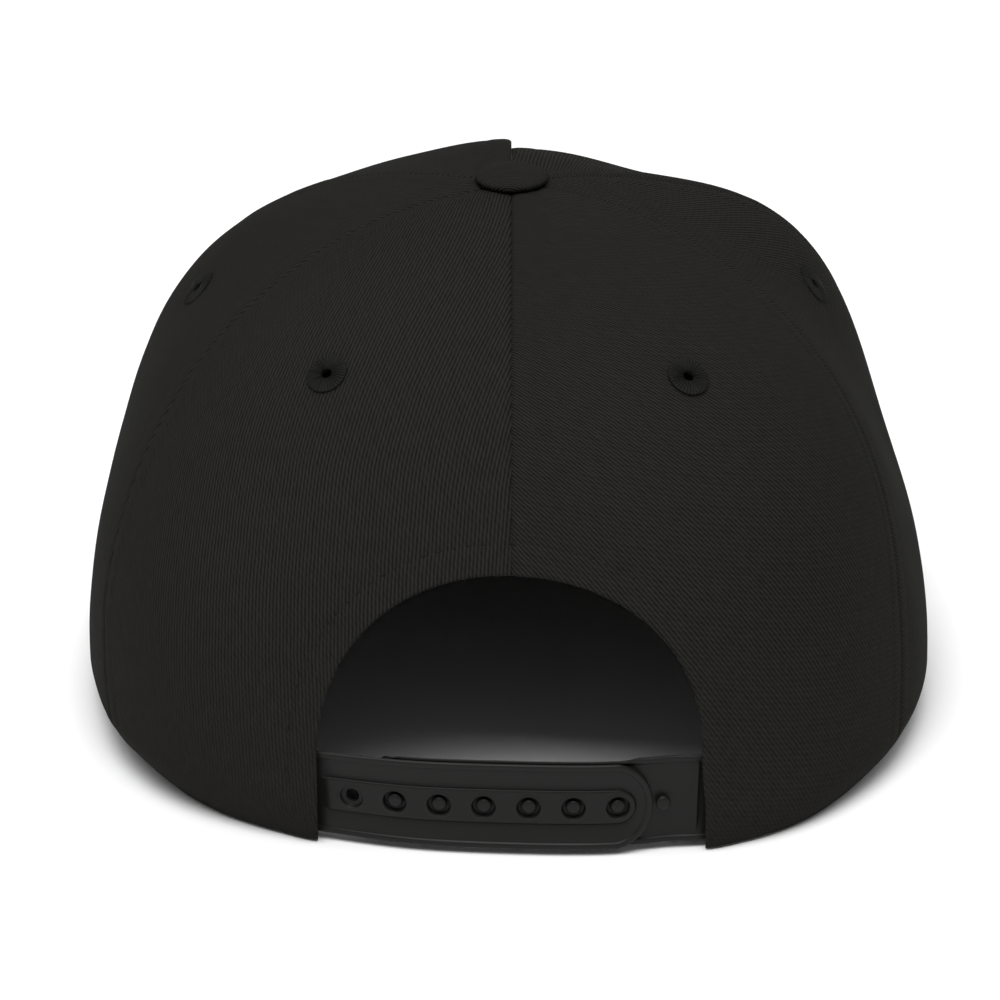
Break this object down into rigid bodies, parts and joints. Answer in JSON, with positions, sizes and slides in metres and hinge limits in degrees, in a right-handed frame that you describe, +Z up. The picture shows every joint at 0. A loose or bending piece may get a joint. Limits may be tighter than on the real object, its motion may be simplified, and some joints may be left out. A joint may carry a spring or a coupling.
{
  "type": "flat bill cap",
  "caption": "Six-panel cap with a tall crown, a flat stiff bill, a covered button, stitched vent eyelets and a plastic snap strap under a rear arch.",
  "frame": {"origin": "centre of the cap's box in plan, on the surface that the rim and the bill rest on", "axes": "+Z up, the bill points along -Y, and +X is the wearer's left"},
  "size_m": [0.1836, 0.2548, 0.1197],
  "materials": {
    "twill": "black cotton twill, matte",
    "thread": "black stitching thread, slight sheen",
    "band_cloth": "black cotton band, matte",
    "strap_plastic": "black moulded plastic, satin"
  },
  "bodies": {
    "root": {"crown_rear_left": "twill", "crown_rear_right": "twill", "crown_side_left": "twill", "crown_side_right": "twill", "crown_front_left": "twill", "crown_front_right": "twill", "crown_button": "twill", "bill": "twill", "sweatband": "band_cloth", "strap_with_holes": "strap_plastic", "strap_with_pegs": "strap_plastic", "eyelet_rear_left": "thread", "eyelet_rear_right": "thread", "eyelet_side_left": "thread", "eyelet_side_right": "thread", "eyelet_front_left": "thread", "eyelet_front_right": "thread"}
  },
  "joints": []
}
